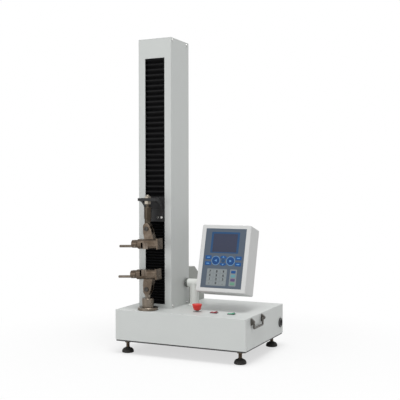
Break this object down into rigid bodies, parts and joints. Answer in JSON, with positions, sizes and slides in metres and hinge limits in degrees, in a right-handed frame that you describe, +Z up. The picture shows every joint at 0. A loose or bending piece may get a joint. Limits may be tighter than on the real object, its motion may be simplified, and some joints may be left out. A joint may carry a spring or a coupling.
{
  "type": "skein strength tester",
  "caption": "Benchtop single-column pull tester with a screw-driven crosshead, two lever clamps, a bellows-covered slot and a tilting control box.",
  "frame": {"origin": "on the floor under the middle of the base, where the feet stand", "axes": "+X to the right as seen from the front, +Y to the back, +Z up the column"},
  "size_m": [0.4214, 0.3, 0.902],
  "materials": {
    "white_paint": "fine satin powder coat",
    "grey_paint": "satin powder coat",
    "dark_paint": "semi-matt black enamel",
    "carriage_paint": "satin grey paint",
    "zinc_plate": "zinc-plated sheet",
    "clamp_steel": "nickel-plated steel, slightly worn",
    "rod_steel": "ground steel",
    "bright_steel": "bright plated",
    "cast_aluminium": "machined aluminium",
    "dark_steel": "blackened steel",
    "black_rubber": "matt folded rubberised cloth",
    "foot_rubber": "matt moulded",
    "belt_rubber": "matt",
    "box_plastic": "fine-grained moulding",
    "membrane_film": "polyester overlay, low gloss",
    "display_glass": "dark display behind a film",
    "black_plastic": "moulded",
    "red_plastic": "moulded",
    "green_plastic": "moulded, tinted",
    "board_green": "circuit board laminate",
    "bronze": "sintered bronze"
  },
  "bodies": {
    "frame": {"base_plate": "dark_paint", "base_housing": "white_paint", "foot_lock_nuts": "bright_steel", "column_frame": "zinc_plate", "column_front_panel": "white_paint", "column_side_panels": "white_paint", "column_screws": "bright_steel", "column_cap": "white_paint", "guide_rods": "rod_steel", "screw_end_blocks": "cast_aluminium", "screw_bearings": "rod_steel", "timing_belt": "belt_rubber", "drive_motor": "dark_steel", "drive_housing": "grey_paint", "power_supply": "zinc_plate", "bellows_upper": "black_rubber", "bellows_lower": "black_rubber", "lower_clamp_seat": "clamp_steel", "load_cell": "cast_aluminium", "control_post": "white_paint", "hinge_barrel": "white_paint", "estop_body": "black_plastic", "switch_bodies": "black_plastic", "handle_ears": "bright_steel", "power_inlet": "black_plastic"},
    "foot_front_left": {"foot_front_left": "foot_rubber"},
    "foot_front_right": {"foot_front_right": "foot_rubber"},
    "foot_back_left": {"foot_back_left": "foot_rubber"},
    "foot_back_right": {"foot_back_right": "foot_rubber"},
    "screw": {"ball_screw": "rod_steel", "driven_pulley": "cast_aluminium"},
    "motor_pulley": {"motor_pulley": "cast_aluminium"},
    "crosshead": {"carriage": "carriage_paint", "carriage_bushes": "bronze", "ball_nut": "rod_steel", "crosshead_bracket": "dark_paint", "bracket_bolts": "bright_steel", "upper_adaptor": "clamp_steel", "adaptor_nuts": "bright_steel"},
    "upper_clamp": {"upper_clamp_body": "clamp_steel", "upper_clamp_pin": "dark_steel", "upper_fixed_jaw": "clamp_steel"},
    "upper_jaw": {"upper_moving_jaw": "clamp_steel"},
    "upper_lever": {"upper_clamp_lever": "clamp_steel"},
    "lower_clamp": {"lower_clamp_body": "clamp_steel", "lower_clamp_pin": "dark_steel", "lower_fixed_jaw": "clamp_steel"},
    "lower_jaw": {"lower_moving_jaw": "clamp_steel"},
    "lower_lever": {"lower_clamp_lever": "clamp_steel"},
    "control_box": {"control_box_shell": "box_plastic", "control_box_bezel": "box_plastic", "keypad_membrane": "membrane_film", "display": "display_glass", "control_board": "board_green"},
    "tilt_knob": {"tilt_knob": "black_plastic"},
    "estop_button": {"estop_button": "red_plastic"},
    "red_rocker": {"red_rocker": "red_plastic"},
    "green_rocker": {"green_rocker": "green_plastic"},
    "side_handle_left": {"side_handle_left": "bright_steel"},
    "side_handle_right": {"side_handle_right": "bright_steel"}
  },
  "joints": [
    {"name": "crosshead_slide", "type": "slide", "parent": "frame", "child": "crosshead", "axis": [0, 0, 1], "range_m": [-0.03, 0.285], "deforming": ["bellows_upper", "bellows_lower"]},
    {"name": "screw_spin", "type": "hinge", "parent": "frame", "child": "screw", "pos_m": [-0.1115, 0.002, 0.1], "axis": [0, 0, 1], "range_deg": [-1081, 10261]},
    {"name": "motor_spin", "type": "hinge", "parent": "frame", "child": "motor_pulley", "pos_m": [-0.1115, 0.072, 0.1], "axis": [0, 0, 1], "range_deg": [-2162, 20522]},
    {"name": "upper_clamp_swing", "type": "hinge", "parent": "crosshead", "child": "upper_clamp", "pos_m": [-0.1115, -0.118, 0.3555], "axis": [0, 1, 0], "range_deg": [-8, 8]},
    {"name": "lower_clamp_swing", "type": "hinge", "parent": "frame", "child": "lower_clamp", "pos_m": [-0.1115, -0.118, 0.184], "axis": [0, 1, 0], "range_deg": [-8, 8]},
    {"name": "upper_lever_turn", "type": "hinge", "parent": "upper_clamp", "child": "upper_lever", "pos_m": [-0.14977, -0.118, 0.30513], "axis": [0, -1, 0], "range_deg": [0, 60]},
    {"name": "lower_lever_turn", "type": "hinge", "parent": "lower_clamp", "child": "lower_lever", "pos_m": [-0.15333, -0.118, 0.21786], "axis": [0, -1, 0], "range_deg": [0, 60]},
    {"name": "upper_jaw_slide", "type": "slide", "parent": "upper_clamp", "child": "upper_jaw", "axis": [-0.9994, 0, -0.0349], "range_m": [0, 0.00315]},
    {"name": "lower_jaw_slide", "type": "slide", "parent": "lower_clamp", "child": "lower_jaw", "axis": [-0.9986, 0, -0.0523], "range_m": [0, 0.00315]},
    {"name": "box_tilt", "type": "hinge", "parent": "frame", "child": "control_box", "pos_m": [0.0899, 0.018, 0.19], "axis": [1, 0, 0], "range_deg": [-20, 15]},
    {"name": "knob_turn", "type": "hinge", "parent": "frame", "child": "tilt_knob", "pos_m": [-0.053, 0.018, 0.19], "axis": [1, 0, 0], "range_deg": [-90, 90]},
    {"name": "estop_press", "type": "slide", "parent": "frame", "child": "estop_button", "axis": [0, 0, -1], "range_m": [0, 0.004], "stiffness_N_per_m": 900},
    {"name": "red_switch_press", "type": "hinge", "parent": "frame", "child": "red_rocker", "pos_m": [0.082, -0.09, 0.1255], "axis": [0, 1, 0], "range_deg": [0, 18]},
    {"name": "green_switch_press", "type": "hinge", "parent": "frame", "child": "green_rocker", "pos_m": [0.134, -0.09, 0.1255], "axis": [0, 1, 0], "range_deg": [0, 18]},
    {"name": "right_handle_fold", "type": "hinge", "parent": "frame", "child": "side_handle_right", "pos_m": [0.206, -0.071, 0.112], "axis": [0, -1, 0], "range_deg": [0, 95]},
    {"name": "left_handle_fold", "type": "hinge", "parent": "frame", "child": "side_handle_left", "pos_m": [-0.206, -0.071, 0.112], "axis": [0, 1, 0], "range_deg": [0, 95]},
    {"name": "foot_front_left_adjust", "type": "slide", "parent": "frame", "child": "foot_front_left", "axis": [0, 0, -1], "range_m": [0, 0.012]},
    {"name": "foot_front_right_adjust", "type": "slide", "parent": "frame", "child": "foot_front_right", "axis": [0, 0, -1], "range_m": [0, 0.012]},
    {"name": "foot_back_left_adjust", "type": "slide", "parent": "frame", "child": "foot_back_left", "axis": [0, 0, -1], "range_m": [0, 0.012]},
    {"name": "foot_back_right_adjust", "type": "slide", "parent": "frame", "child": "foot_back_right", "axis": [0, 0, -1], "range_m": [0, 0.012]}
  ],
  "couplings": [
    {"joint": "screw_spin", "follows": "crosshead_slide", "rad_per_m": 628.32},
    {"joint": "motor_spin", "follows": "crosshead_slide", "rad_per_m": 1256.6},
    {"joint": "upper_lever_turn", "follows": "upper_jaw_slide", "rad_per_m": 330},
    {"joint": "lower_lever_turn", "follows": "lower_jaw_slide", "rad_per_m": 330}
  ]
}
